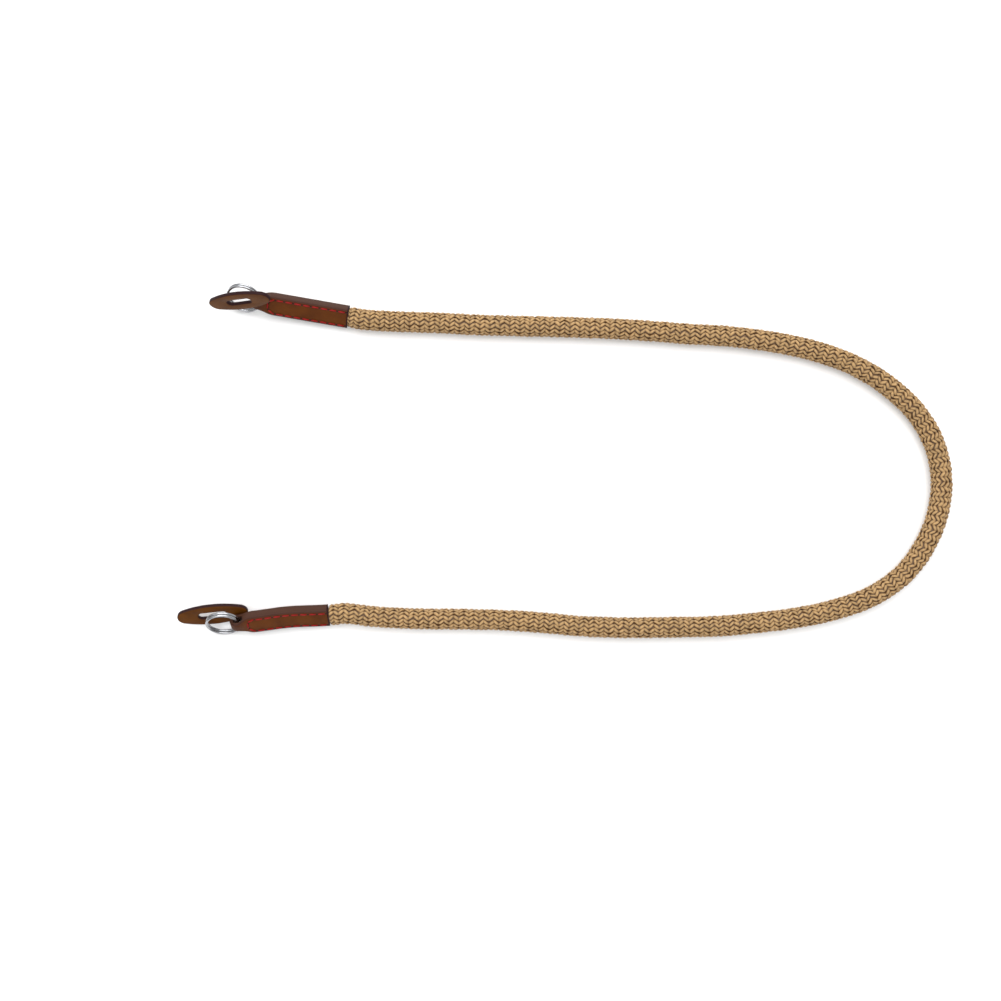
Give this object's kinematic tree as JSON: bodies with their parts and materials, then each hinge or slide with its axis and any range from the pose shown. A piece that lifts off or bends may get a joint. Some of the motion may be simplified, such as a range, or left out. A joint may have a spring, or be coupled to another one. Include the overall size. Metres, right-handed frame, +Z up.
{
  "type": "camera shoulder strap",
  "caption": "Braided rope camera strap with stitched leather end covers, split rings and slotted leather guard tabs, laid flat on a surface.",
  "frame": {"origin": "on the surface that the strap lies on, under the middle of the common box of the covers, rings and tabs", "axes": "+X from the two ends towards the bend of the rope, +Y from the lower end to the upper end, +Z up"},
  "size_m": [0.3338, 0.1519, 0.0204],
  "materials": {
    "rope": "matte braided cotton",
    "leather": "smooth waxed brown leather with dark painted edges",
    "steel": "polished plated wire",
    "thread": "red waxed thread"
  },
  "bodies": {
    "root": {"braided_rope": "rope", "end_cover_upper": "leather", "end_cover_lower": "leather", "guard_tab_upper": "leather", "guard_tab_lower": "leather", "split_ring_upper": "steel", "split_ring_lower": "steel"}
  },
  "joints": []
}
